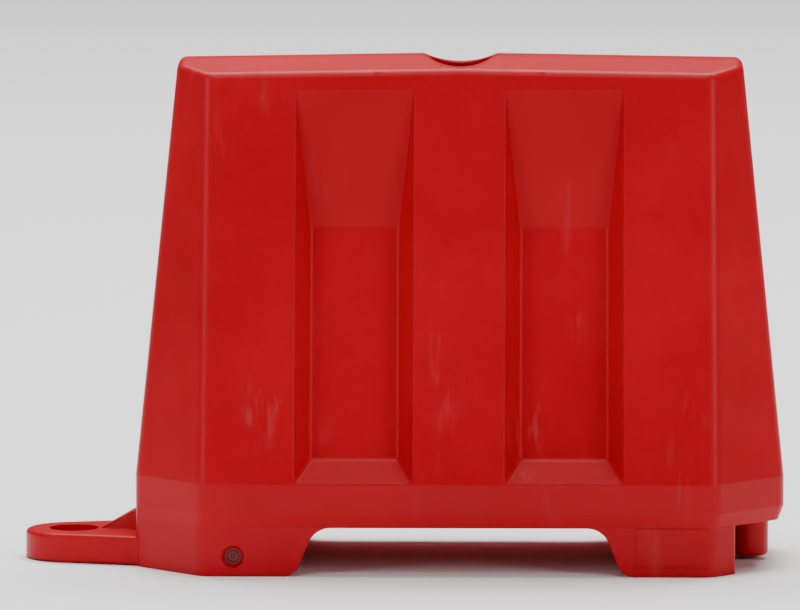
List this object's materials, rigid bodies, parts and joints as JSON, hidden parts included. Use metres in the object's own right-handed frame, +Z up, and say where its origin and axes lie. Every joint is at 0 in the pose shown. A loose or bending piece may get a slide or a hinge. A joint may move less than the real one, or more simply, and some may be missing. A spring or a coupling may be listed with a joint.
{
  "type": "water filled barrier",
  "caption": "Hollow plastic road barrier, filled through a screw cap in its top and emptied through a drain plug, with a tab and post that link it to the next one.",
  "frame": {"origin": "on the ground, under the middle of the whole length and width", "axes": "+X along the barrier towards the coupling post, +Z up, the face with the drain towards -Y"},
  "size_m": [1.1939, 0.46, 0.799],
  "materials": {
    "shell_plastic": "satin moulded polyethylene, red",
    "insert_plastic": "moulded, black",
    "cap_plastic": "moulded, black",
    "drain_plastic": "moulded, dark red",
    "seal_rubber": "smooth"
  },
  "bodies": {
    "tank": {"body_shell": "shell_plastic", "filler_neck": "insert_plastic", "drain_bush": "drain_plastic"},
    "cap_seal": {"cap_gasket": "seal_rubber"},
    "cap": {"filler_cap": "cap_plastic"},
    "plug_seal": {"drain_seal": "seal_rubber"},
    "plug": {"drain_plug": "drain_plastic"}
  },
  "joints": [
    {"name": "cap_lift", "type": "slide", "parent": "tank", "child": "cap_seal", "axis": [0, 0, 1], "range_m": [0, 0.014]},
    {"name": "cap_turn", "type": "hinge", "parent": "cap_seal", "child": "cap", "pos_m": [0.09, 0, 0.7675], "axis": [0, 0, 1], "range_deg": [0, 900]},
    {"name": "plug_travel", "type": "slide", "parent": "tank", "child": "plug_seal", "axis": [0, -1, 0], "range_m": [0, 0.012]},
    {"name": "plug_turn", "type": "hinge", "parent": "plug_seal", "child": "plug", "pos_m": [-0.26, -0.212, 0.031], "axis": [0, -1, 0], "range_deg": [0, 2160]}
  ],
  "couplings": [
    {"joint": "cap_lift", "follows": "cap_turn", "m_per_rad": 0.00089126},
    {"joint": "plug_travel", "follows": "plug_turn", "m_per_rad": 0.0003183}
  ]
}
